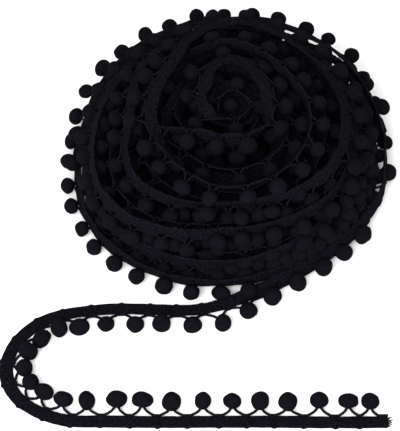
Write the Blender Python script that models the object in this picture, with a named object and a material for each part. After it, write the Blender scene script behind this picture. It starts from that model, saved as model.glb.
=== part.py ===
"""Roll of pompom trim, wound by hand into a round mound, with one loose end.

The trim is a narrow woven band. A zigzag cord along its outer edge carries a pompom at each
point. The roll rests on its flat underside. The loose end leaves it at the front, runs to the
left, turns back in a hairpin and ends at a cut on the right.

Metres, +Z up. The origin is on the roll's flat underside, on its axis. +X is to the right and
+Y points from the loose end to the roll. The tables are in millimetres.
"""

import math
import random
from collections import namedtuple

import bmesh
import bpy
from mathutils import Matrix, Vector
from mathutils.bvhtree import BVHTree

MM = 0.001
PART_GAP = 0.3 * MM

# The trim
BAND_WIDTH = 7.2 * MM
BAND_THICKNESS = 1.2 * MM
POMPOM_PITCH = 15.0 * MM
POMPOM_LENGTH = 10.4 * MM
POMPOM_DEPTH = 9.4 * MM
POMPOM_HEIGHT = 9.2 * MM
POMPOM_REACH = 11.5 * MM
POMPOM_TURN = math.radians(20)
CORD_DIAMETER = 1.2 * MM
ZIGZAG_SPREAD = 9.0 * MM
HEM_WIDTH = 1.0 * MM
ROOT_DEPTH = 0.8 * MM
ROOT_INSET = 2.2 * MM
FLOOR_GAP = 0.05 * MM

# The roll
SIDES = 28
TAPER_SIDES = 4
POMPOM_SIDES = 5
POMPOM_ROWS = 4
LOOSE_POMPOM_DETAIL = 2
GROOVE_DEPTH = 11.0 * MM
GROOVE_SHARE = 0.40
HUB_DEPTH = 22.0 * MM
LOOSE_STEP = 8.0 * MM
ROUTE_STEPS = 60
MERGE_DISTANCE = 0.1 * MM
OUTER_TURN_INSET = 0.2 * MM
POMPOM_SEAT = 1.5 * MM
BURIED_DEPTH = 5.0 * MM
REACH_SPREAD = 1.0 * MM
SEED = 11

YARN_COLOR = (0.012, 0.012, 0.018)
YARN_ROUGHNESS = 0.9

# The wound turns, from the middle outward and clockwise as seen from above. A row holds one
# turn's values to the left, back left, back, and on round to the front left.
Turn = namedtuple("Turn", "left back_left back back_right right front_right front front_left")

# From the roll's axis to the band's middle
REACHES = [
    Turn(6, 11, 14, 11, 9, 8, 8, 11),
    Turn(15, 20, 35, 24, 21, 27, 26, 28),
    Turn(38, 36, 50, 39, 42, 50, 56, 47),
    Turn(43, 45, 70, 62, 63, 65, 61, 68),
    Turn(55, 64, 75, 72, 69, 73, 71, 83),
    Turn(75, 73, 79, 77, 72, 74, 81, 84),
    Turn(80, 79, 82, 81, 74, 76, 85, 89),
    Turn(84, 86, 88, 89, 88, 86, 86, 86),
]
HEIGHTS = [
    Turn(46, 46, 47, 48, 49, 50, 51, 53),
    Turn(56, 57, 57, 57, 57, 57, 56, 55),
    Turn(50, 50, 54, 55, 55, 54, 52, 52),
    Turn(56, 57, 53, 51, 48, 47, 45, 45),
    Turn(47, 46, 45, 41, 38, 36, 34, 34),
    Turn(35, 38, 35, 33, 29, 24, 20, 18),
    Turn(20, 26, 26, 23, 18, 13, 10, 9),
    Turn(8, 17, 29, 27, 13, 10, 10, 10),
]
# How far the outer edge leans down, in degrees
LEANS = [
    Turn(80, 80, 85, 85, 85, 80, 80, 80),
    Turn(78, 12, 30, 30, 70, 88, 55, 88),
    Turn(88, 80, 88, 66, 86, 88, 88, 88),
    Turn(50, 16, 16, 42, 42, 72, 88, 85),
    Turn(45, 36, 45, 45, 42, 78, 80, 65),
    Turn(58, 25, 62, 60, 55, 60, 80, 70),
    Turn(50, 50, 60, 60, 55, 65, 85, 70),
    Turn(60, 55, 50, 52, 78, 60, 60, 60),
]
LAST_WOUND_EIGHTH = 8 * len(REACHES) - 4

# The outermost turn from the roll's right side on, and the loose end: place, height, lean
RoutePoint = namedtuple("RoutePoint", "x y z lean")
OUTER_ROUTE = [
    RoutePoint(88, 8, 11, 76), RoutePoint(85, -20, 10.5, 75), RoutePoint(76, -38, 9.5, 72),
    RoutePoint(62, -55, 7.5, 60), RoutePoint(46, -68.5, 6, 55), RoutePoint(29, -79, 4.5, 45),
    RoutePoint(14, -87, 3.4, 40), RoutePoint(-1, -93, 1.6, 14), RoutePoint(-15, -97, 0.6, 0),
    RoutePoint(-28, -98, 0.6, 0), RoutePoint(-58, -97, 0.6, 0), RoutePoint(-76, -98.5, 0.6, 0),
    RoutePoint(-89, -101, 0.6, 0), RoutePoint(-99, -105, 0.6, 0), RoutePoint(-106, -110.5, 0.6, 0),
    RoutePoint(-112, -118, 0.6, 0), RoutePoint(-115.8, -126.5, 0.6, 0),
    RoutePoint(-117.2, -136, 0.6, 0), RoutePoint(-115, -146, 0.6, 0),
    RoutePoint(-109.5, -154.8, 0.6, 0), RoutePoint(-102.5, -160.5, 0.6, 0),
    RoutePoint(-94, -165, 0.6, 0), RoutePoint(-82, -168.2, 0.6, 0), RoutePoint(-66, -168.4, 0.6, 0),
    RoutePoint(-37, -168.8, 0.6, 0), RoutePoint(-8, -168.6, 0.6, 0), RoutePoint(21, -168.6, 0.6, 0),
    RoutePoint(50, -169, 0.6, 0), RoutePoint(79, -168.8, 0.6, 0),
]

# Pompoms of the outer route: distance along it and reach from the band's middle line
LoosePompom = namedtuple("LoosePompom", "along reach")
OUTER_POMPOMS = [
    LoosePompom(-3, 11), LoosePompom(12, 11), LoosePompom(28, 11), LoosePompom(44, 11),
    LoosePompom(60, 11), LoosePompom(76, 11), LoosePompom(91, 11), LoosePompom(108, 11),
    LoosePompom(124, 11), LoosePompom(139, 12),
]
UPPER_POMPOMS = [
    LoosePompom(153.3, 14.3), LoosePompom(166, 12.5), LoosePompom(181, 11.8),
    LoosePompom(195, 13), LoosePompom(211.5, 12.5), LoosePompom(227, 12.6),
]
BEND_POMPOMS = [
    LoosePompom(240.5, 10.4), LoosePompom(256, 11), LoosePompom(270, 9.6),
    LoosePompom(285.5, 9.6), LoosePompom(299.5, 9.6), LoosePompom(312.8, 9.8),
    LoosePompom(327, 9.8),
]
LOWER_POMPOMS = [
    LoosePompom(342, 10.3), LoosePompom(356.6, 11), LoosePompom(370.4, 10.9),
    LoosePompom(384.6, 9.8), LoosePompom(401, 10.3), LoosePompom(416.3, 10.1),
    LoosePompom(429.6, 10.1), LoosePompom(444.5, 9.7), LoosePompom(460, 10.9),
    LoosePompom(475, 10.5), LoosePompom(485.8, 10.1),
]

# Distances along the outer route
LEAVES_ROLL = 146.0 * MM
UPPER_END = 234.0 * MM
BEND_END = 334.5 * MM
LOOSE_END = 496.0 * MM


def clear_scene():
    for item in list(bpy.data.objects):
        bpy.data.objects.remove(item, do_unlink=True)


def new_collection(name):
    collection = bpy.data.collections.new(name)
    bpy.context.scene.collection.children.link(collection)
    return collection


def new_material(name, color, roughness):
    material = bpy.data.materials.new(name)
    material.use_nodes = True
    shader = material.node_tree.nodes["Principled BSDF"]
    shader.inputs["Base Color"].default_value = (*color, 1.0)
    shader.inputs["Roughness"].default_value = roughness
    shader.inputs["Metallic"].default_value = 0.0
    return material


def new_object(name, shape, material, collection):
    mesh = bpy.data.meshes.new(name)
    bmesh.ops.recalc_face_normals(shape, faces=shape.faces)
    shape.to_mesh(mesh)
    shape.free()
    mesh.materials.append(material)
    item = bpy.data.objects.new(name, mesh)
    collection.objects.link(item)
    return item


# The route of the band

Frame = namedtuple("Frame", "place along across face")


def curve(before, start, end, after, t):
    """A Catmull-Rom curve between start and end."""
    return 0.5 * (2 * start + (end - before) * t
                  + (2 * before - 5 * start + 4 * end - after) * t * t
                  + (3 * start - before - 3 * end + after) * t ** 3)


def table_value(rows, eighth):
    """A value of a table of turns between its columns."""
    values = [value for row in rows for value in row]
    index = int(eighth)
    return curve(values[max(index - 1, 0)], values[index], values[index + 1], values[index + 2],
                 eighth - index)


def wound_point(eighth):
    """Place and lean of the band, by eighths of a turn."""
    angle = eighth * math.pi / 4
    reach = table_value(REACHES, eighth)
    place = Vector((-reach * math.cos(angle), reach * math.sin(angle),
                    table_value(HEIGHTS, eighth)))
    return place * MM, table_value(LEANS, eighth)


def smooth_route(points, steps):
    """Places and leans on a Catmull-Rom curve through the route's points."""
    values = [Vector((point.x, point.y, point.z, point.lean)) for point in points]
    route = []
    for index in range(len(values) - 1):
        before, start = values[max(index - 1, 0)], values[index]
        end, after = values[index + 1], values[min(index + 2, len(values) - 1)]
        for step in range(steps):
            route.append(curve(before, start, end, after, step / steps))
    route.append(values[-1])
    lowest = BAND_THICKNESS / 2
    return [(Vector((x * MM, y * MM, max(z * MM, lowest))), max(lean, 0))
            for x, y, z, lean in route]


def band_frame(place, ahead, lean):
    """The band's middle, its travel, the way to its outer edge and out of its upper face."""
    along = ahead.normalized()
    outward = Vector((0, 0, 1)).cross(along).normalized()
    upward = along.cross(outward)
    angle = math.radians(lean)
    across = outward * math.cos(angle) - upward * math.sin(angle)
    face = outward * math.sin(angle) + upward * math.cos(angle)
    return Frame(place, along, across, face)


def frames_of(route):
    """Band frames of a list of places and leans, with their distances along it."""
    frames, along = [], 0.0
    for index, (place, lean) in enumerate(route):
        before = route[max(index - 1, 0)][0]
        after = route[min(index + 1, len(route) - 1)][0]
        if index:
            along += (place - before).length
        frames.append((along, band_frame(place, after - before, lean)))
    return frames


def frame_at(frames, distance):
    """The frame nearest to a distance along the route."""
    return min(frames, key=lambda item: abs(item[0] - distance))[1]


def spaced(frames, step):
    """Frames about one step apart, with the first and the last."""
    start, end = frames[0][0], frames[-1][0]
    count = max(1, round((end - start) / step))
    return [frame_at(frames, start + (end - start) * index / count) for index in range(count + 1)]


def stretch(frames, start, end):
    """The frames between two distances along the route."""
    return [item for item in frames if start <= item[0] <= end]


# Shapes


def loft(shape, sections):
    """A closed tube through four-cornered sections."""
    rings = [[shape.verts.new(corner) for corner in section] for section in sections]
    for ring, following in zip(rings, rings[1:]):
        for index in range(4):
            after = (index + 1) % 4
            shape.faces.new((ring[index], ring[after], following[after], following[index]))
    shape.faces.new(reversed(rings[0]))
    shape.faces.new(rings[-1])


def strip_section(frame, inner, outer, top, bottom):
    """Corners of a flat strip between two reaches across the band."""
    corners = [(inner, top), (outer, top), (outer, bottom), (inner, bottom)]
    return [frame.place + frame.across * reach + frame.face * height for reach, height in corners]


def add_pompom(shape, frame, center):
    """A slightly flattened ball whose near pole is drawn out to a root under the band's edge."""
    axes = Matrix((frame.along, frame.face, frame.across)).transposed().to_4x4()
    size = Matrix.Diagonal((POMPOM_LENGTH / 2, POMPOM_HEIGHT / 2, POMPOM_DEPTH / 2, 1.0))
    matrix = Matrix.Translation(center) @ axes @ size @ Matrix.Rotation(POMPOM_TURN, 4, "Z")
    ball = bmesh.ops.create_uvsphere(shape, u_segments=POMPOM_SIDES, v_segments=POMPOM_ROWS,
                                     radius=1.0, matrix=matrix)
    lowest = min(vert.co.z for vert in ball["verts"])
    bmesh.ops.translate(shape, verts=ball["verts"], vec=(0, 0, max(0, FLOOR_GAP - lowest)))
    near_pole = min(ball["verts"], key=lambda vert: (vert.co - center).dot(frame.across))
    root = frame.place + frame.across * (BAND_WIDTH / 2 - ROOT_INSET)
    near_pole.co = root - frame.face * ROOT_DEPTH


def add_leg(shape, root, tip):
    """A three-sided cord from the band's edge into the pompom."""
    direction = tip - root
    turned = direction.to_track_quat("Z", "Y").to_matrix().to_4x4()
    matrix = Matrix.Translation((root + tip) / 2) @ turned
    bmesh.ops.create_cone(shape, cap_ends=True, segments=3, radius1=CORD_DIAMETER / 2,
                          radius2=CORD_DIAMETER / 2, depth=direction.length, matrix=matrix)


def add_union(item, operand):
    operand.hide_render = True
    operand.display_type = "WIRE"
    modifier = item.modifiers.new("join " + operand.name, "BOOLEAN")
    modifier.operation = "UNION"
    modifier.solver = "EXACT"
    modifier.use_self = True
    modifier.object = operand


# The wound roll


def wound_frames():
    """Frames of the wound turns, the same number to each turn."""
    count = LAST_WOUND_EIGHTH * SIDES // 8
    route = [wound_point(8 * index / SIDES) for index in range(count + 1)]
    return frames_of(route)


def terrace_edges(frames):
    """Inner and outer edge of the band at each step, drawn in to nothing at both ends."""
    edges = []
    for _, frame in frames:
        half = frame.across * BAND_WIDTH / 2
        edges.append((frame.place - half, frame.place + half, frame.along))
    last = len(edges) - 1
    for step in range(TAPER_SIDES):
        share = step / TAPER_SIDES
        inner, outer, along = edges[step]
        seam = edges[step + SIDES][0]
        edges[step] = (seam.lerp(inner, share), seam.lerp(outer, share), along)
        inner, outer, along = edges[last - step]
        seam = edges[last - step - SIDES][1]
        edges[last - step] = (seam.lerp(inner, share), seam.lerp(outer, share), along)
    return edges


def groove_point(edges, index):
    """A point sunk between a turn's outer edge and the next turn's inner edge."""
    outer, inner, along = edges[index][1], edges[index + SIDES][0], edges[index][2]
    step = inner - outer
    depth = min(GROOVE_DEPTH, GROOVE_SHARE * step.length)
    sunk = -along.cross(step).normalized()
    outward = Vector((0, 0, 1)).cross(along)
    if sunk.dot(outward) > 0:
        sunk = Vector((0, 0, -1))
    return (outer + inner) / 2 + sunk * depth


def build_mound(frames, material, collection):
    """The roll as one terrace that winds outward and down, closed over a flat underside."""
    shape = bmesh.new()
    edges = terrace_edges(frames)
    last = len(edges) - 1
    inner = [shape.verts.new(edge[0]) for edge in edges]
    outer = [shape.verts.new(edge[1]) for edge in edges]
    groove = [shape.verts.new(groove_point(edges, index)) for index in range(last - SIDES + 1)]
    for index in range(last):
        shape.faces.new((inner[index], inner[index + 1], outer[index + 1], outer[index]))
    for index in range(last - SIDES):
        shape.faces.new((outer[index], outer[index + 1], groove[index + 1], groove[index]))
        ahead = index + SIDES
        shape.faces.new((groove[index], groove[index + 1], inner[ahead + 1], inner[ahead]))
    middle = sum((vert.co for vert in inner[:SIDES]), Vector()) / SIDES
    middle.z -= HUB_DEPTH
    hub = shape.verts.new(middle)
    for index in range(SIDES):
        shape.faces.new((hub, inner[index + 1], inner[index]))
    rim = outer[last - SIDES:last]
    foot = [shape.verts.new((vert.co.x, vert.co.y, 0)) for vert in rim]
    for index in range(SIDES):
        after = (index + 1) % SIDES
        shape.faces.new((rim[index], rim[after], foot[after], foot[index]))
    shape.faces.new(foot)
    bmesh.ops.remove_doubles(shape, verts=shape.verts, dist=MERGE_DISTANCE)
    bmesh.ops.triangulate(shape, faces=[face for face in shape.faces if len(face.verts) == 4])
    return new_object("wound_roll", shape, material, collection)


def add_outer_turn(shape, wound, outer):
    """The last turn, which lies a little off the roll on its right side."""
    half, flat = BAND_WIDTH / 2 - OUTER_TURN_INSET, BAND_THICKNESS / 2
    frames = [frame for _, frame in wound[-TAPER_SIDES - 2:-1]] + spaced(outer, LOOSE_STEP)
    loft(shape, [strip_section(frame, -half, half, flat, -flat) for frame in frames])


def seat_pompom(surface, frame, reach):
    """The middle of a pompom across the band, raised to sit in the groove; none if buried."""
    center = frame.place + frame.across * reach
    point, normal, _, _ = surface.find_nearest(center)
    depth = (point - center).dot(normal)
    if depth > BURIED_DEPTH:
        return None
    return center + normal * max(0, POMPOM_SEAT + depth)


def add_wound_pompoms(shape, mound, frames):
    """A pompom at every pitch of the wound turns, seated on the mound."""
    chance = random.Random(SEED)
    surface = BVHTree.FromObject(mound, bpy.context.evaluated_depsgraph_get())
    length = frames[-1 - TAPER_SIDES][0]
    for index in range(1, int(length / POMPOM_PITCH)):
        frame = frame_at(frames, index * POMPOM_PITCH)
        spread = chance.uniform(-REACH_SPREAD, REACH_SPREAD)
        center = seat_pompom(surface, frame, POMPOM_REACH + spread)
        if center:
            add_pompom(shape, frame, center)


def add_outer_pompoms(shape, frames):
    for pompom in OUTER_POMPOMS:
        frame = frame_at(frames, pompom.along * MM)
        center = frame.place + frame.across * pompom.reach * MM
        add_pompom(shape, frame, center)


def build_roll(wound, outer, material, collection, cutters):
    """The mound, the turn that stands off it and their pompoms, joined into one solid."""
    mound = build_mound(wound, material, collection)
    shape = bmesh.new()
    add_outer_turn(shape, wound, stretch(outer, 0, LEAVES_ROLL))
    add_wound_pompoms(shape, mound, wound)
    add_outer_pompoms(shape, outer)
    add_union(mound, new_object("turn_and_pompoms", shape, material, cutters))


# The loose end


def build_loose_band(frames, material, collection):
    """The band of the loose end, flat on the floor."""
    shape = bmesh.new()
    half, flat = BAND_WIDTH / 2, BAND_THICKNESS / 2
    loft(shape, [strip_section(frame, -half, half, flat, -flat)
                 for frame in spaced(frames, LOOSE_STEP)])
    return new_object("loose_band", shape, material, collection)


def build_hem(name, frames, material, collection):
    """The narrow strip along the band's edge that carries a stretch of the zigzag cord."""
    shape = bmesh.new()
    start, flat = BAND_WIDTH / 2 + PART_GAP, BAND_THICKNESS / 2
    loft(shape, [strip_section(frame, start, start + HEM_WIDTH, flat, -flat)
                 for frame in spaced(frames, LOOSE_STEP)])
    return new_object(name, shape, material, collection)


def build_zigzag(name, frames, pompoms, material, collection):
    """Two legs of the cord and a ball on the floor for every pompom."""
    shape = bmesh.new()
    root_reach = BAND_WIDTH / 2 + PART_GAP + HEM_WIDTH / 2
    for pompom in pompoms:
        frame = frame_at(frames, pompom.along * MM)
        center = frame.place + frame.across * pompom.reach * MM
        axes = Matrix((frame.along, frame.across, frame.face)).transposed().to_4x4()
        size = Matrix.Diagonal((POMPOM_LENGTH / 2, POMPOM_DEPTH / 2, POMPOM_HEIGHT / 2, 1.0))
        center.z = POMPOM_HEIGHT / 2
        ball = bmesh.ops.create_icosphere(shape, subdivisions=LOOSE_POMPOM_DETAIL, radius=1.0,
                                          matrix=Matrix.Translation(center) @ axes @ size)
        lowest = min(vert.co.z for vert in ball["verts"])
        bmesh.ops.translate(shape, verts=ball["verts"], vec=(0, 0, FLOOR_GAP - lowest))
        for side in (-0.5, 0.5):
            root = frame_at(frames, pompom.along * MM + side * ZIGZAG_SPREAD)
            add_leg(shape, root.place + root.across * root_reach, center)
    return new_object(name, shape, material, collection)


def build_fringe(name, frames, start, end, pompoms, material, collection, cutters):
    hem = build_hem(name, stretch(frames, start, end), material, collection)
    add_union(hem, build_zigzag(name + "_zigzag", frames, pompoms, material, cutters))


def main():
    clear_scene()
    parts = new_collection("pompom_trim_roll")
    cutters = new_collection("cutters")
    yarn = new_material("black polyester yarn", YARN_COLOR, YARN_ROUGHNESS)
    wound = wound_frames()
    outer = frames_of(smooth_route(OUTER_ROUTE, ROUTE_STEPS))
    build_roll(wound, outer, yarn, parts, cutters)
    build_loose_band(stretch(outer, LEAVES_ROLL + PART_GAP, LOOSE_END), yarn, parts)
    build_fringe("upper_fringe", outer, LEAVES_ROLL + PART_GAP, UPPER_END, UPPER_POMPOMS,
                 yarn, parts, cutters)
    build_fringe("bend_fringe", outer, UPPER_END + PART_GAP, BEND_END, BEND_POMPOMS,
                 yarn, parts, cutters)
    build_fringe("lower_fringe", outer, BEND_END + PART_GAP, LOOSE_END, LOWER_POMPOMS,
                 yarn, parts, cutters)


main()
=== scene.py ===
import math
import random
from collections import namedtuple

import bmesh
import bpy
from mathutils import Matrix, Vector, noise
from mathutils.kdtree import KDTree


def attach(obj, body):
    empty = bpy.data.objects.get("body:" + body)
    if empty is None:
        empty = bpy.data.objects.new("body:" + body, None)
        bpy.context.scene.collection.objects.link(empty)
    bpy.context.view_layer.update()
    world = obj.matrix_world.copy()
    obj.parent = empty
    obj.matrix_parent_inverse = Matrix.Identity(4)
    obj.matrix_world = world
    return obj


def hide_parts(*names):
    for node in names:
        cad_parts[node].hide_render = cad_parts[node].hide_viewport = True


# Roll of black pompom trim: a narrow knitted band with a zigzag cord on its outer edge and a
# pompom at each point of the zigzag. Sizes are in millimetres, angles in degrees.
mm = 0.001

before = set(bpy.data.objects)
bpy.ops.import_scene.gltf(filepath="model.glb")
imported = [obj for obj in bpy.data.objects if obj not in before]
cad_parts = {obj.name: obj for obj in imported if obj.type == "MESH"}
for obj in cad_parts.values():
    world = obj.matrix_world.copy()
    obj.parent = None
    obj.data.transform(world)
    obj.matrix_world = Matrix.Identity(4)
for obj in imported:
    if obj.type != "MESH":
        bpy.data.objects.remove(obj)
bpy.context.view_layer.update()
print("frame loaded:", ", ".join(sorted(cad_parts)))

trim = {
    "bandWidth": 7.2,
    "bandThickness": 1.1,
    "pitch": 15.0,        # from pompom to pompom
    "reach": 11.2,        # from the band's middle line to a pompom's middle
    "reachSpread": 1.0,
    "pompomSize": (10.0, 9.2, 9.0),    # along the band, across it and towards the root
    "hang": (32, 75),     # the least and the most that a wound pompom's stem hangs, in degrees
    "inward": 150,        # a band that leans farther has its pompoms on its inner side
    "jointGap": 12,       # room between the last wound pompom and the outer route's first
    "seed": 4,
}
# unless it is seeded, the noise differs from run to run
noise.seed_set(trim["seed"])


def toLinear(hexColour):
    channels = [int(hexColour[i:i + 2], 16) / 255 for i in (1, 3, 5)]
    return [c / 12.92 if c <= 0.04045 else ((c + 0.055) / 1.055) ** 2.4 for c in channels] + [1.0]


def addNode(tree, kind, settings=None, inputs=None, links=None):
    # settings are the node's own values, and links go from an input to a node and its output
    node = tree.nodes.new(kind)
    for name, value in (settings or {}).items():
        setattr(node, name, value)
    for name, value in (inputs or {}).items():
        node.inputs[name].default_value = value
    for name, (source, output) in (links or {}).items():
        tree.links.new(source.outputs[output], node.inputs[name])
    return node


def addBump(tree, shader, height, look):
    bump = addNode(tree, "ShaderNodeBump", None,
                   {"Strength": look["strength"], "Distance": look["depth"] * mm},
                   {"Height": height})
    tree.links.new(bump.outputs["Normal"], shader.inputs["Normal"])


def addMix(tree, shader, factor, dark, light):
    mix = addNode(tree, "ShaderNodeMix", {"data_type": "RGBA"}, None, {"Factor": factor})
    mix.inputs["A"].default_value = toLinear(dark)
    mix.inputs["B"].default_value = toLinear(light)
    tree.links.new(mix.outputs["Result"], shader.inputs["Base Color"])


def newMaterial(name, shaderInputs):
    material = bpy.data.materials.new(name)
    material.use_nodes = True
    shader = material.node_tree.nodes["Principled BSDF"]
    for socket, value in shaderInputs.items():
        shader.inputs[socket].default_value = value
    return material, material.node_tree, shader


def newPiece(name, shape, material, slot=None, subdivision=0):
    # an extrusion leaves its faces in no fixed order
    ordered = sorted(shape.faces, key=lambda face: tuple(face.calc_center_median()))
    for index, face in enumerate(ordered):
        face.index = index
    shape.faces.sort()
    bmesh.ops.recalc_face_normals(shape, faces=shape.faces)
    mesh = bpy.data.meshes.new(name)
    shape.to_mesh(mesh)
    shape.free()
    mesh.polygons.foreach_set("use_smooth", [True] * len(mesh.polygons))
    mesh.materials.append(material)
    piece = bpy.data.objects.new(name, mesh)
    bpy.context.scene.collection.objects.link(piece)
    if subdivision:
        smooth = piece.modifiers.new("smooth", "SUBSURF")
        smooth.levels = smooth.render_levels = subdivision
    if slot:
        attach(piece, "root")
    return piece


# The wound turns, from the middle outward and clockwise as seen from above. A row holds one
# turn's values to the left, back left, back, and on round to the front left.
Turn = namedtuple("Turn", "left backLeft back backRight right frontRight front frontLeft")
Layer = namedtuple("Layer", "share inward drop lean first last")
RoutePoint = namedtuple("RoutePoint", "x y z lean")

roll = {
    "reach": [            # from the roll's axis to the band's middle
        Turn(7, 10, 16, 13, 11, 8, 6, 8),
        Turn(15, 20, 34, 24, 20, 26, 26, 28),
        Turn(46, 50, 50, 39, 42, 50, 56, 47),
        Turn(43, 45, 70, 62, 63, 65, 61, 68),
        Turn(55, 64, 74, 72, 68, 72, 71, 83),
        Turn(75, 73, 78, 76, 71, 74, 81, 84),
        Turn(80, 78, 79, 87, 78, 77, 86, 89),
        Turn(85, 87, 89, 90, 88, 86, 86, 86),
    ],
    "height": [
        Turn(49, 49, 50, 50, 50, 50, 50, 52),
        Turn(56, 57, 57, 57, 57, 57, 56, 55),
        Turn(47, 44, 53, 55, 55, 54, 52, 52),
        Turn(56, 57, 51, 51, 48, 47, 45, 45),
        Turn(47, 46, 42, 41, 38, 36, 34, 34),
        Turn(35, 38, 34, 33, 29, 24, 20, 18),
        Turn(20, 26, 25, 28, 20, 13, 10, 9),
        Turn(8, 26, 34, 30, 13, 10, 10, 10),
    ],
    "lean": [             # how far the outer edge leans down, in degrees; below 0 it stands up
        Turn(-90, -110, -120, -105, -90, -70, -55, -40),
        Turn(60, 12, 15, 10, -30, -75, -105, -80),
        Turn(-60, -80, -92, -90, -85, -75, -55, -55),
        Turn(5, 16, 16, 42, 42, 72, 116, 85),
        Turn(45, 36, 35, 45, 42, 88, 96, 78),
        Turn(62, 20, 30, 45, 60, 88, 100, 85),
        Turn(60, 25, 25, 40, 45, 65, 104, 88),
        Turn(60, 10, 10, 42, 80, 60, 60, 60),
    ],
    "samplesPerEighth": 30,
    "lastEighth": 59.88,     # the outer route goes on from here
    "wander": 1.0,           # how far the band strays, over which length, and how it turns
    "wanderLength": 17.0,
    "leanWander": 14.0,
    # Turns under the visible ones: their share of the way from one visible turn to the next,
    # how far in towards the axis and how far down they lie, their lean, and the turns they
    # follow, from the first up to the last
    "hidden": [
        Layer(0.5, 3, 8, -50, 0, 6), Layer(0, 9, 13, -40, 0, 6), Layer(0.5, 6, 20, 15, 0, 5),
        Layer(0.35, 0, 28, 10, 0, 5), Layer(0.75, 0, 22, 15, 1, 4), Layer(0.5, 12, 43, 60, 0, 3),
        Layer(0, 0, 3, 165, 0, 1), Layer(0, 1, 18, 85, 0, 1), Layer(0.05, 2, 31, 60, 0, 2),
        Layer(1, 0, 7, 20, 6, 7),
    ],
    "hiddenInward": 0.3,     # a hidden turn keeps at least this share of its reach
    "hiddenLowest": 5.0,
    "hiddenEdge": 0.91,      # no hidden pompom lies farther out than this share of the last turn
    "hiddenSmooth": 10,      # hidden turns less deep than this are as fine as the visible ones
}

# The outer route: the outermost turn from the roll's right side on, and the loose end.
# Distances along it start where the tables of the wound turns end. A pompom's reach is from
# the band's middle line, and a tucked one is pushed in towards the roll by so much.
Spot = namedtuple("Spot", "at reach tucked", defaults=[0])

looseEnd = {
    "route": [
        RoutePoint(88, 8, 11, 77), RoutePoint(85, -20, 10.5, 75), RoutePoint(76, -38, 9, 70),
        RoutePoint(62, -55, 7.5, 66), RoutePoint(46, -68.5, 6, 62), RoutePoint(29, -79, 4.5, 55),
        RoutePoint(14, -87, 3.4, 40), RoutePoint(-1, -93, 1.6, 14), RoutePoint(-15, -97, 0.6, 0),
        RoutePoint(-28, -98, 0.6, 0), RoutePoint(-58, -97, 0.6, 0),
        RoutePoint(-76, -98.5, 0.6, 0), RoutePoint(-89, -101, 0.6, 0),
        RoutePoint(-99, -105, 0.6, 0), RoutePoint(-106, -110.5, 0.6, 0),
        RoutePoint(-112, -118, 0.6, 0), RoutePoint(-115.8, -126.5, 0.6, 0),
        RoutePoint(-117.2, -136, 0.6, 0), RoutePoint(-115, -146, 0.6, 0),
        RoutePoint(-109.5, -154.8, 0.6, 0), RoutePoint(-102.5, -160.5, 0.6, 0),
        RoutePoint(-94, -165, 0.6, 0), RoutePoint(-82, -168.2, 0.6, 0),
        RoutePoint(-66, -168.4, 0.6, 0), RoutePoint(-37, -168.8, 0.6, 0),
        RoutePoint(-8, -168.6, 0.6, 0), RoutePoint(21, -168.6, 0.6, 0),
        RoutePoint(50, -169, 0.6, 0), RoutePoint(79, -168.8, 0.6, 0),
    ],
    "samplesPerPoint": 12,
    "leavesRoll": 146.0,
    "end": 496.0,
    "pompoms": [
        Spot(-3, 9), Spot(12, 9), Spot(28, 4, 11), Spot(44, 4, 10), Spot(60, 10), Spot(76, 11),
        Spot(91, 11), Spot(108, 11), Spot(124, 11), Spot(139, 12), Spot(153.3, 14.3),
        Spot(166, 12.5), Spot(181, 11.8), Spot(195, 13), Spot(211.5, 12.5), Spot(227, 12.6),
        Spot(240.5, 10.4), Spot(256, 11), Spot(270, 9.6), Spot(285.5, 9.6), Spot(299.5, 9.6),
        Spot(312.8, 9.8), Spot(327, 9.8), Spot(342, 10.3), Spot(356.6, 11), Spot(370.4, 10.9),
        Spot(384.6, 9.8), Spot(401, 10.3), Spot(416.3, 10.1), Spot(429.6, 10.1),
        Spot(444.5, 9.7), Spot(460, 10.9), Spot(475, 10.5), Spot(485.8, 10.1),
    ],
}

Station = namedtuple("Station", "place along across face lean")


def curveValue(values, index, t):
    # a Catmull-Rom curve from one of the values to the next
    start, end = values[index], values[index + 1]
    before, after = values[max(index - 1, 0)], values[min(index + 2, len(values) - 1)]
    return 0.5 * (2 * start + (end - before) * t
                  + (2 * before - 5 * start + 4 * end - after) * t * t
                  + (3 * start - before - 3 * end + after) * t ** 3)


def tableValue(rows, eighth):
    values = [value for row in rows for value in row]
    index = min(int(eighth), len(values) - 2)
    return curveValue(values, index, eighth - index)


def woundPoint(eighth):
    # place and lean of the band, by eighths of a turn
    angle = eighth * math.pi / 4
    reach = tableValue(roll["reach"], eighth)
    place = Vector((-reach * math.cos(angle), reach * math.sin(angle),
                    tableValue(roll["height"], eighth)))
    stray = noise.noise_vector(place / roll["wanderLength"])
    lean = tableValue(roll["lean"], eighth) + roll["leanWander"] * stray.z
    return place + roll["wander"] * Vector((stray.x, stray.y, stray.x * stray.y)), lean


def outerPoints():
    # places and leans of the band along the outer route
    values, steps = [Vector(point) for point in looseEnd["route"]], looseEnd["samplesPerPoint"]
    points = [curveValue(values, index, step / steps)
              for index in range(len(values) - 1) for step in range(steps)]
    points.append(values[-1])
    lowest = trim["bandThickness"] / 2 + band["clear"]
    return [(Vector((x, y, max(z, lowest))), max(lean, 0)) for x, y, z, lean in points]


def bandStation(place, ahead, lean):
    # the band's own directions: along it, across it to the cord's edge, and off its face
    along = ahead.normalized()
    outward = Vector((0, 0, 1)).cross(along).normalized()
    upward = along.cross(outward)
    turned = math.radians(lean)
    across = outward * math.cos(turned) - upward * math.sin(turned)
    face = outward * math.sin(turned) + upward * math.cos(turned)
    return Station(place, along, across, face, lean)


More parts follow.
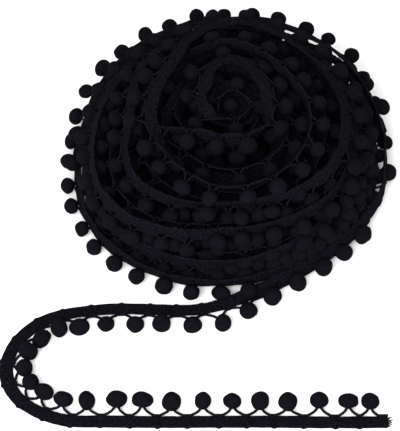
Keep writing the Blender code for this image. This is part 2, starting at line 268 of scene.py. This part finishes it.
def routeOf(points):
    # stations one millimetre apart, each with the direction between its second neighbours
    distances = [0.0]
    for (place, _), (following, _) in zip(points, points[1:]):
        distances.append(distances[-1] + (following - place).length)
    even, at = [], 0
    for step in range(int(distances[-1]) + 1):
        while distances[at + 1] < step:
            at += 1
        share = (step - distances[at]) / (distances[at + 1] - distances[at])
        even.append((points[at][0].lerp(points[at + 1][0], share),
                     points[at][1] + (points[at + 1][1] - points[at][1]) * share))
    route = []
    for index, (place, lean) in enumerate(even):
        before, after = even[max(index - 2, 0)][0], even[min(index + 2, len(even) - 1)][0]
        route.append(bandStation(place, after - before, lean))
    return route


def stationAt(route, distance):
    return route[max(0, min(round(distance), len(route) - 1))]


def walkProfile(shape, profile, places):
    # extrudes a closed profile from place to place, each a matrix with its distance along
    along = shape.verts.layers.float["along"]
    edges = list(dict.fromkeys(edge for vert in profile for edge in vert.link_edges))
    firstMatrix, firstDistance = places[0]
    for vert in profile:
        vert[along] = firstDistance
    bmesh.ops.transform(shape, matrix=firstMatrix, verts=profile)
    bmesh.ops.edgeloop_fill(shape, edges=edges)
    sharpEdges = list(edges)
    verts, matrix = list(profile), firstMatrix
    for nextMatrix, distance in places[1:]:
        grown = bmesh.ops.extrude_edge_only(shape, edges=edges)["geom"]
        verts = [item for item in grown if isinstance(item, bmesh.types.BMVert)]
        ring = set(verts)
        edges = [item for item in grown if isinstance(item, bmesh.types.BMEdge)
                 and item.verts[0] in ring and item.verts[1] in ring]
        bmesh.ops.transform(shape, matrix=nextMatrix @ matrix.inverted(), verts=verts)
        for vert in verts:
            vert[along] = distance
        matrix = nextMatrix
    bmesh.ops.edgeloop_fill(shape, edges=edges)
    for edge in sharpEdges + edges:
        edge.smooth = False


def writeUvs(shape, wrap=None):
    # the distance along the sweep and the place round it; wrap is the length of once round
    around = shape.verts.layers.float["around"]
    along = shape.verts.layers.float["along"]
    weave = shape.loops.layers.uv.new("weave")
    for face in shape.faces:
        values = [loop.vert[around] for loop in face.loops]
        seam = wrap and max(values) - min(values) > wrap / 2
        for loop, value in zip(face.loops, values):
            if seam and value < wrap / 2:
                value += wrap
            loop[weave].uv = (loop.vert[along], value)


def sweptShape():
    shape = bmesh.new()
    shape.verts.layers.float.new("around")
    shape.verts.layers.float.new("along")
    return shape


def matrixOf(place, across, face, along):
    matrix = Matrix((across, face, along)).transposed().to_4x4()
    matrix.translation = place * mm
    return matrix


band = {
    "step": 2.5,
    "sides": 12,
    "squareness": 0.45,      # lower gives a squarer section
    "edgeRipple": 0.7,       # how far the selvedge wanders in and out
    "faceRipple": 0.25,      # how far the band lifts and dips
    "twist": 5.0,            # degrees
    "rippleLength": 3.6,
    "looseRipple": 0.3,      # the loose end lies this much as uneven as the wound band
    "cutLength": 2.4,        # the cut end narrows over this length to this share of its width
    "cutShare": 0.72,
    "clear": 0.25,           # above the table top
}


def bandProfile(shape):
    # a flat oval: a circle pressed square, its width along X and its thickness along Y
    ring = bmesh.ops.create_circle(shape, cap_ends=False, segments=band["sides"],
                                   radius=1.0)["verts"]
    around = shape.verts.layers.float["around"]
    for vert in ring:
        x, y = vert.co.x, vert.co.y
        vert.co.x = math.copysign(abs(x) ** band["squareness"], x) * trim["bandWidth"] / 2 * mm
        vert.co.y = math.copysign(abs(y) ** band["squareness"], y) * trim["bandThickness"] / 2 * mm
        vert.co.z = 0
        vert[around] = vert.co.x / mm
    return ring


def addBand(shape, route, start, end, loose):
    ripple = band["looseRipple"] if loose else 1.0
    count = max(2, round((end - start) / band["step"]))
    places = []
    for index in range(count + 1):
        distance = start + (end - start) * index / count
        station = stationAt(route, distance)
        wave = noise.noise_vector(station.place / band["rippleLength"]) * ripple
        turned = Matrix.Rotation(math.radians(band["twist"]) * wave.x, 3, station.along)
        place = station.place + station.face * band["faceRipple"] * wave.y
        matrix = matrixOf(place, turned @ station.across, turned @ station.face, station.along)
        widened = 1 + band["edgeRipple"] * wave.z / trim["bandWidth"] * 2
        if loose and end - distance < band["cutLength"]:
            narrowed = 1 - band["cutShare"]
            widened *= band["cutShare"] + narrowed * (end - distance) / band["cutLength"]
        places.append((matrix @ Matrix.Diagonal((widened, 1, 1, 1)), distance))
    walkProfile(shape, bandProfile(shape), places)


cord = {
    "thickness": 1.3,
    "looseThickness": 1.5,   # the loose end's cord is not pressed
    "sides": 5,
    "spread": 13.0,          # between the feet of one V, along the band's edge
    "woundSpread": 8.0,      # the same where the trim is wound
    "footOut": 1.1,          # a leg turns off the edge between these shares of half the spread
    "footIn": 0.95,
    "footRoom": 1.12,        # neighbouring Vs share the edge so that their feet stay apart
    "edgeGap": 0.35,         # the cord's middle line runs this far off the band's edge
    "apexSpread": 1.3,
    "apexDepth": 0.40,       # how deep the point of a V sits in its pompom, as a share of it
    "apexLeast": 0.1,        # the least share of the stem that a V goes up
    "flare": 0.16,           # how far a leg bows in before it flares out to the edge
    "stray": 0.55,           # how far the cord wanders where it is wound
    "strayLength": 2.7,
    "step": 1.4,
    "leastStep": 0.1,        # below these lengths a direction can't be told
    "leastAcross": 0.05,
    "clear": 0.1,            # above the table top
}
# The nubs of the cord on the band's other edge: how far each of their points stands out
stitch = {"length": 2.6, "thickness": 0.9, "out": (-0.35, -0.05, 0.2, -0.05, -0.35)}
# Cut ends of yarn that stand off the band's end
threads = {
    "count": 7,
    "width": 0.8,            # the share of the band's width that they stand on
    "inside": 1.0,
    "short": 0.8,
    "long": 2.4,
    "aside": 0.9,
    "middle": 0.5,           # at half their length they lie this share of the way aside
    "middleAside": 0.3,
    "thickness": 0.5,
    "step": 0.5,
}


def edgePoint(route, distance):
    station = stationAt(route, distance)
    return station.place + station.across * (trim["bandWidth"] / 2 + cord["edgeGap"])


def cordPoints(route, pompoms, start, end):
    # along the edge between the pompoms, and up to each pompom and back
    points = [edgePoint(route, start)]
    for pompom in pompoms:
        station = stationAt(route, pompom["at"])
        foot = edgePoint(route, pompom["at"])
        stem = pompom["center"] - foot
        depth = trim["pompomSize"][2] * cord["apexDepth"]
        apex = foot + stem * max(cord["apexLeast"], 1 - depth / stem.length)
        half = pompom["room"]
        tip = station.along * cord["apexSpread"] / 2
        for side in (-1, 1):
            feet = [edgePoint(route, pompom["at"] + side * half * cord["footOut"]),
                    edgePoint(route, pompom["at"] + side * half * cord["footIn"])]
            middle = feet[1].lerp(apex + tip * side, 0.5)
            middle -= station.along * side * half * cord["flare"]
            leg = feet + [middle, apex + tip * side]
            if not pompom["fixed"]:
                leg = [point + noise.noise_vector(point / cord["strayLength"]) * cord["stray"]
                       for point in leg]
            points += leg if side < 0 else reversed(leg)
    points.append(edgePoint(route, end))
    for point in points:
        point.z = max(point.z, cord["looseThickness"] / 2 + cord["clear"])
    return points


def addStitches(shape, route, pompoms):
    # a nub midway between two pompoms
    for pompom, following in zip(pompoms, pompoms[1:]):
        middle = (pompom["at"] + following["at"]) / 2
        points = []
        for index, out in enumerate(stitch["out"]):
            station = stationAt(route, middle)
            ahead = (index / (len(stitch["out"]) - 1) - 0.5) * stitch["length"]
            points.append(station.place + station.along * ahead
                          - station.across * (trim["bandWidth"] / 2 + out))
        addTube(shape, points, stitch["thickness"])


def addThreads(shape, route, end, chance):
    station = stationAt(route, end)
    for index in range(threads["count"]):
        share = (index + 0.5) / threads["count"] - 0.5
        start = station.place + station.across * share * trim["bandWidth"] * threads["width"]
        length = chance.uniform(threads["short"], threads["long"])
        aside = station.across * chance.uniform(-1, 1) * threads["aside"]
        points = [start - station.along * threads["inside"],
                  start + station.along * length * threads["middle"]
                  + aside * threads["middleAside"],
                  start + station.along * length + aside]
        addTube(shape, smoothPoints(points, threads["step"]), threads["thickness"])


def smoothPoints(points, step):
    # a curve through the points in even steps, without points that nearly coincide
    smooth = []
    for index in range(len(points) - 1):
        count = max(1, round((points[index + 1] - points[index]).length / step))
        smooth += [curveValue(points, index, number / count) for number in range(count)]
    smooth.append(points[-1])
    kept = [smooth[0]]
    for point in smooth[1:]:
        if (point - kept[-1]).length > step / 4:
            kept.append(point)
    return kept


def addTube(shape, points, thickness):
    # a round cord along the points, its section turned as little as can be
    ring = bmesh.ops.create_circle(shape, cap_ends=False, segments=cord["sides"],
                                   radius=thickness / 2 * mm)["verts"]
    around = shape.verts.layers.float["around"]
    for vert in ring:
        vert[around] = math.atan2(vert.co.y, vert.co.x) / math.tau + 0.5
    places, distance = [], 0.0
    across = (points[1] - points[0]).normalized().orthogonal().normalized()
    for index, point in enumerate(points):
        before, after = points[max(index - 1, 0)], points[min(index + 1, len(points) - 1)]
        ahead = after - before if (after - before).length > cord["leastStep"] else point - before
        ahead.normalize()
        across -= ahead * across.dot(ahead)
        if across.length <= cord["leastAcross"]:
            across = ahead.orthogonal()
        across.normalize()
        if index:
            distance += (point - before).length
        places.append((matrixOf(point, across, ahead.cross(across), ahead), distance))
    walkProfile(shape, ring, places)


pompomShape = {
    "detail": 2,
    "swell": 1.07,           # makes up for what the subdivision takes away
    "uneven": 0.2,
    "unevenLength": 2.8,
    "sizeSpread": 0.13,
    "clear": 0.2,            # above the table top, where a pompom flattens
    "pressed": 0.95,         # the size of wound pompoms beside loose ones
}


def addPompom(shape, pompom, chance):
    stem = (pompom["center"] - pompom["foot"]).normalized()
    along = pompom["along"] - stem * pompom["along"].dot(stem)
    along.normalize()
    x, y, z = (side * (1 + chance.uniform(-1, 1) * pompomShape["sizeSpread"])
               for side in trim["pompomSize"])
    swell = pompomShape["swell"] * (1 if pompom["fixed"] else pompomShape["pressed"])
    matrix = matrixOf(pompom["center"], along, stem.cross(along), stem)
    size = Matrix.Diagonal((x / 2, y / 2, z / 2, 1)) * (swell * mm)
    size[3][3] = 1
    spin = Matrix.Rotation(chance.uniform(0, math.tau), 4, "Z")
    ball = bmesh.ops.create_icosphere(shape, subdivisions=pompomShape["detail"], radius=1.0,
                                      matrix=matrix @ size @ spin)
    center = pompom["center"] * mm
    for vert in ball["verts"]:
        lump = noise.noise(vert.co / mm / pompomShape["unevenLength"])
        vert.co = center + (vert.co - center) * (1 + lump * pompomShape["uneven"])
        vert.co.z = max(vert.co.z, pompomShape["clear"] * mm)


settling = {
    "sweeps": 40,
    "gap": 8.6,              # between the middles of two pompoms that touch
    "bandGap": 4.8,          # from a pompom's middle to the points on a band's face
    "bandStep": 3,           # stations from one row of these points to the next
    "bandSides": (-1, -0.35, 0.35, 1),
    "pompomPush": 0.4,       # shares of an overlap that a sweep takes away
    "bandPush": 0.5,
    "least": 0.01,           # places nearer than this don't push
    "stemShort": 4.8,
    "stemLong": 10.0,
    "spring": 0.10,          # share of the way back to its first place
    "floor": 4.7,
}


def makePompoms(route, distances, reach, chance):
    # with a given reach, a pompom stays where it is put: the loose end's lie on the table
    pompoms = []
    for index, at in enumerate(distances):
        station = stationAt(route, at)
        foot = station.place + station.across * trim["bandWidth"] / 2
        if reach:
            far = reach[index]
        else:
            far = trim["reach"] + chance.uniform(-1, 1) * trim["reachSpread"]
        least, most = trim["hang"]
        hangs = not reach and station.lean <= trim["inward"]
        flop = min(max(station.lean, least), most) - station.lean if hangs else 0
        turned = Matrix.Rotation(-math.radians(flop), 3, station.along)
        center = foot + turned @ station.across * (far - trim["bandWidth"] / 2)
        pompoms.append({"at": at, "foot": foot, "center": center, "rest": center.copy(),
                        "along": station.along,
                        "room": cord["spread" if reach else "woundSpread"] / 2,
                        "fixed": bool(reach)})
    for pompom, following in zip(pompoms, pompoms[1:]):
        room = (following["at"] - pompom["at"]) / 2 / cord["footRoom"]
        pompom["room"] = min(pompom["room"], room)
        following["room"] = min(following["room"], room)
    return pompoms


def bandPoints(routes):
    points = []
    for route in routes:
        for station in route[::settling["bandStep"]]:
            for side in settling["bandSides"]:
                points.append(station.place + station.across * side * trim["bandWidth"] / 2)
    return points


def settle(pompoms, routes, still=()):
    # pompoms push each other and the bands' faces away, held back by their stems
    walls = bandPoints(routes)
    bands = KDTree(len(walls))
    for index, point in enumerate(walls):
        bands.insert(point, index)
    bands.balance()
    for _ in range(settling["sweeps"]):
        others = KDTree(len(pompoms) + len(still))
        for index, pompom in enumerate(pompoms + list(still)):
            others.insert(pompom["center"], index)
        others.balance()
        moved = []
        for index, pompom in enumerate(pompoms):
            center = pompom["center"]
            push = (pompom["rest"] - center) * settling["spring"]
            for place, other, gap in others.find_range(center, settling["gap"]):
                if other != index and gap > settling["least"]:
                    overlap = settling["gap"] - gap
                    push += (center - place) / gap * overlap * settling["pompomPush"]
            place, _, gap = bands.find(center)
            if settling["least"] < gap < settling["bandGap"]:
                overlap = settling["bandGap"] - gap
                push += (center - place) / gap * overlap * settling["bandPush"]
            moved.append(center + push)
        for pompom, center in zip(pompoms, moved):
            if pompom["fixed"]:
                continue
            stem = center - pompom["foot"]
            length = min(max(stem.length, settling["stemShort"]), settling["stemLong"])
            center = pompom["foot"] + stem.normalized() * length
            center.z = max(center.z, settling["floor"])
            pompom["center"] = center


# Polyester yarn knitted into a flat tape on a crochet machine, solution-dyed black: dull, with fine
# lengthwise wales and a faint violet cast. Darker spots are painted where the fine fuzz bump dips,
# as painted shade in the knit's hollows
knit = {
    "colour": "#131218",
    "paintedFuzzShade": "#050508",
    "wale": 1.2,             # from wale to wale, across the band
    "course": 1.5,           # from course to course, along it
    "slant": 0.9,            # how far the wales bend the courses
    "waleHeight": 0.7,       # beside the height of the courses
    "fuzz": 900.0,           # noise to the metre
    "fuzzHeight": 0.4,
    "depth": 0.5,
    "strength": 0.7,
    "fuzzShade": 3.0,
}


def makeKnitMaterial():
    material, tree, shader = newMaterial("knitted polyester tape", {
        "Roughness": 0.85, "IOR": 1.5, "Specular IOR Level": 0.01})
    uv = addNode(tree, "ShaderNodeUVMap", {"uv_map": "weave"})
    parts = addNode(tree, "ShaderNodeSeparateXYZ", links={"Vector": (uv, "UV")})
    wales = addNode(tree, "ShaderNodeMath", {"operation": "MULTIPLY"},
                    {1: math.tau / knit["wale"]}, {0: (parts, "Y")})
    courses = addNode(tree, "ShaderNodeMath", {"operation": "MULTIPLY"},
                      {1: math.tau / knit["course"]}, {0: (parts, "X")})
    waleWave = addNode(tree, "ShaderNodeMath", {"operation": "COSINE"}, None, {0: (wales, 0)})
    slant = addNode(tree, "ShaderNodeMath", {"operation": "MULTIPLY_ADD"}, {1: knit["slant"]},
                    {0: (waleWave, 0), 2: (courses, 0)})
    courseWave = addNode(tree, "ShaderNodeMath", {"operation": "SINE"}, None, {0: (slant, 0)})
    loop = addNode(tree, "ShaderNodeMath", {"operation": "MULTIPLY_ADD"}, {1: knit["waleHeight"]},
                   {0: (waleWave, 0), 2: (courseWave, 0)})
    place = addNode(tree, "ShaderNodeTexCoord")
    fuzz = addNode(tree, "ShaderNodeTexNoise", None, {"Scale": knit["fuzz"], "Detail": 2.0},
                   {"Vector": (place, "Object")})
    height = addNode(tree, "ShaderNodeMath", {"operation": "MULTIPLY_ADD"},
                     {1: knit["fuzzHeight"]}, {0: (loop, 0), 2: (fuzz, "Fac")})
    addBump(tree, shader, (height, 0), knit)
    # painted shade: darker where the fuzz noise, which also sets the bump height, is low
    fuzzShade = addNode(tree, "ShaderNodeMath", {"operation": "MULTIPLY_ADD", "use_clamp": True},
                     {1: knit["fuzzShade"], 2: 0.5 - knit["fuzzShade"] / 2}, {0: (fuzz, "Fac")})
    addMix(tree, shader, (fuzzShade, 0), knit["paintedFuzzShade"], knit["colour"])
    return material


# Two-ply polyester cord: two strands twisted together, so light catches slanting ridges
ply = {"colour": "#100f15", "strands": 2, "twist": 2.6, "depth": 0.4, "strength": 0.8}


def makeCordMaterial():
    material, tree, shader = newMaterial("two-ply polyester cord", {
        "Base Color": toLinear(ply["colour"]), "Roughness": 0.8, "IOR": 1.5,
        "Specular IOR Level": 0.02})
    uv = addNode(tree, "ShaderNodeUVMap", {"uv_map": "weave"})
    parts = addNode(tree, "ShaderNodeSeparateXYZ", links={"Vector": (uv, "UV")})
    run = addNode(tree, "ShaderNodeMath", {"operation": "MULTIPLY"},
                  {1: math.tau / ply["twist"]}, {0: (parts, "X")})
    phase = addNode(tree, "ShaderNodeMath", {"operation": "MULTIPLY_ADD"},
                    {1: ply["strands"] * math.tau}, {0: (parts, "Y"), 2: (run, 0)})
    ridge = addNode(tree, "ShaderNodeMath", {"operation": "SINE"}, None, {0: (phase, 0)})
    addBump(tree, shader, (ridge, 0), ply)
    return material


# Cut polyester pile, trimmed to a ball: fully matte and a little darker than the band. Its colour
# is painted darker where the clump bump dips, as painted shade between the clumps
pile = {"colour": "#0f0e13", "paintedClumpShade": "#08070b", "tuft": 0.8, "clump": 2.4, "clumpHeight": 0.8,
        "depth": 0.5, "strength": 0.8}


def makePileMaterial():
    material, tree, shader = newMaterial("cut polyester pile", {
        "Roughness": 1.0, "IOR": 1.5, "Specular IOR Level": 0.02})
    place = addNode(tree, "ShaderNodeTexCoord")
    tufts, clumps = (addNode(tree, "ShaderNodeTexNoise", None,
                             {"Scale": 1 / (pile[size] * mm), "Detail": detail},
                             {"Vector": (place, "Object")})
                     for size, detail in (("tuft", 2.0), ("clump", 1.0)))
    height = addNode(tree, "ShaderNodeMath", {"operation": "MULTIPLY_ADD"},
                     {1: pile["clumpHeight"]}, {0: (clumps, "Fac"), 2: (tufts, "Fac")})
    addBump(tree, shader, (height, 0), pile)
    # painted shade: the colour goes to the darker tone in the hollows of the clump bump
    addMix(tree, shader, (clumps, "Fac"), pile["paintedClumpShade"], pile["colour"])
    return material


knitMaterial = makeKnitMaterial()
cordMaterial = makeCordMaterial()
pileMaterial = makePileMaterial()
print("materials made")

# The visible route: the wound turns, and from the joint on the outer route
woundSamples = int(roll["lastEighth"] * roll["samplesPerEighth"])
turnSamples = 8 * roll["samplesPerEighth"]
wound = [woundPoint(step / roll["samplesPerEighth"]) for step in range(woundSamples)]
woundDistances = [0.0]
for (before, _), (after, _) in zip(wound, wound[1:]):
    woundDistances.append(woundDistances[-1] + (after - before).length)
woundRoute = routeOf(wound)
joint = len(woundRoute)
topRoute = woundRoute + routeOf(outerPoints())


def hiddenRoute(layer):
    # a turn between and under the visible ones
    points = []
    for index in range(layer.first * turnSamples,
                       min(layer.last * turnSamples, woundSamples - turnSamples)):
        place = wound[index][0].lerp(wound[index + turnSamples][0], layer.share)
        reach = math.hypot(place.x, place.y)
        kept = max(roll["hiddenInward"], 1 - layer.inward / reach)
        height = max(place.z - layer.drop, roll["hiddenLowest"])
        points.append((Vector((place.x * kept, place.y * kept, height)), layer.lean))
    return routeOf(points)


hiddenRoutes = [hiddenRoute(layer) for layer in roll["hidden"]]
print("route", len(topRoute), "mm, hidden turns", sum(len(route) for route in hiddenRoutes), "mm")


def pitches(length):
    return [(index + 0.5) * trim["pitch"] for index in range(int(length / trim["pitch"]))]


def keepInside(pompom):
    # moves a hidden pompom in behind the last visible turn
    lastTurn = 8 * (len(roll["reach"]) - 1)
    flat = pompom["center"].xy
    eighth = math.atan2(flat.y, -flat.x) % math.tau / (math.pi / 4)
    edge = roll["hiddenEdge"] * tableValue(roll["reach"], lastTurn + eighth)
    pompom["center"].xy = flat * min(1, edge / flat.length)


chance = random.Random(trim["seed"])
woundPompoms = makePompoms(topRoute, pitches(joint - trim["jointGap"]), None, chance)
outerPompoms = makePompoms(topRoute, [joint + spot.at for spot in looseEnd["pompoms"]],
                           [spot.reach for spot in looseEnd["pompoms"]], chance)
for pompom, spot in zip(outerPompoms, looseEnd["pompoms"]):
    outward = Vector((0, 0, 1)).cross(pompom["along"]).normalized()
    pompom["center"] -= outward * spot.tucked
    pompom["center"].z = max(pompom["center"].z, settling["floor"])
hiddenPompoms = [makePompoms(route, pitches(len(route)), None, chance) for route in hiddenRoutes]
topPompoms = woundPompoms + outerPompoms
allHidden = [pompom for pompoms in hiddenPompoms for pompom in pompoms]
rollRoute = topRoute[:joint + int(looseEnd["leavesRoll"])]
settle(topPompoms, [rollRoute])
settle(allHidden, [rollRoute] + hiddenRoutes, topPompoms)
for pompom in allHidden:
    keepInside(pompom)
print("pompoms", len(topPompoms), "and", len(allHidden), "hidden")


def makeStretch(name, route, pompoms, start, end, nodes, smooth=True, loose=False):
    # the band, the zigzag cord and the pompoms of one stretch of a route
    made = []
    shape = sweptShape()
    addBand(shape, route, start, end, loose)
    writeUvs(shape)
    made.append(newPiece(name + "_band", shape, knitMaterial, "black_band"))
    shape = sweptShape()
    own = [pompom for pompom in pompoms if start <= pompom["at"] < end]
    addTube(shape, smoothPoints(cordPoints(route, own, start, end), cord["step"]),
            cord["looseThickness" if loose else "thickness"])
    if smooth:
        addStitches(shape, route, own)
    if loose:
        addThreads(shape, route, end, chance)
    writeUvs(shape, 1.0)
    made.append(newPiece(name + "_cord", shape, cordMaterial, "black_yarn"))
    shape = bmesh.new()
    for pompom in own:
        addPompom(shape, pompom, chance)
    made.append(newPiece(name + "_pompoms", shape, pileMaterial, "black_yarn",
                         1 if smooth else 0))
    for piece in made:
        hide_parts(*nodes)
    return made


leaves = joint + looseEnd["leavesRoll"]
end = joint + looseEnd["end"]
turnStarts = [woundDistances[turn * turnSamples] for turn in range(len(roll["reach"]))] + [leaves]
for number, (start, stop) in enumerate(zip(turnStarts, turnStarts[1:]), 1):
    makeStretch("turn%d" % number, topRoute, topPompoms, start, stop, ["wound_roll"])
    print("turn", number, "made")
for number, layer in enumerate(roll["hidden"], 1):
    route, pompoms = hiddenRoutes[number - 1], hiddenPompoms[number - 1]
    makeStretch("layer%d" % number, route, pompoms, 0, len(route) - 1, ["wound_roll"],
                layer.drop < roll["hiddenSmooth"])
print("hidden layers made")
loosePieces = makeStretch("loose_end", topRoute, outerPompoms, leaves, end,
                          ["loose_band", "upper_fringe", "bend_fringe", "lower_fringe"], loose=True)
print("loose end made")

# A plain pale floor, soft light and the camera. The lamp's power is in watts, the elevation
# in degrees.
studio = {
    "floorSize": 6000,
    "floorColour": "#fafafa",
    "sky": 1.0,
    "keySize": 900,
    "keyPower": 22.0,
    "keyPlace": (-300, -900, 700),
    "aim": (-16.67, -31.55, 0),
    "elevation": 50,
    "distance": 1000,
    "sensor": 36,
    "lens": 150.3,
    "clipEnd": 10000,
}


def makeFloor():
    # uncoated white card, almost fully matte
    shape = bmesh.new()
    bmesh.ops.create_grid(shape, x_segments=1, y_segments=1, size=studio["floorSize"] / 2 * mm)
    material, tree, shader = newMaterial("matte white card", {
        "Base Color": toLinear(studio["floorColour"]), "Roughness": 0.9, "Specular IOR Level": 0.1})
    newPiece("floor", shape, material)


def makeLights():
    world = bpy.data.worlds.new("studio")
    bpy.context.scene.world = world
    world.use_nodes = True
    world.node_tree.nodes["Background"].inputs["Color"].default_value = (1, 1, 1, 1)
    world.node_tree.nodes["Background"].inputs["Strength"].default_value = studio["sky"]
    lamp = bpy.data.lights.new("key", "AREA")
    lamp.size = studio["keySize"] * mm
    lamp.energy = studio["keyPower"]
    key = bpy.data.objects.new("key", lamp)
    key.location = Vector(studio["keyPlace"]) * mm
    key.rotation_euler = (-key.location).to_track_quat("-Z", "Y").to_euler()
    bpy.context.scene.collection.objects.link(key)


def makeCamera():
    camera = bpy.data.cameras.new("camera")
    camera.sensor_width = studio["sensor"]
    camera.lens = studio["lens"]
    camera.clip_end = studio["clipEnd"] * mm
    elevation = math.radians(studio["elevation"])
    back = Vector((0, -math.cos(elevation), math.sin(elevation))) * studio["distance"]
    item = bpy.data.objects.new("camera", camera)
    item.location = (Vector(studio["aim"]) + back) * mm
    item.rotation_euler = (math.pi / 2 - elevation, 0, 0)
    bpy.context.scene.collection.objects.link(item)
    bpy.context.scene.camera = item
    bpy.context.scene.view_settings.view_transform = "Standard"


makeFloor()
makeLights()
makeCamera()
print("studio made")
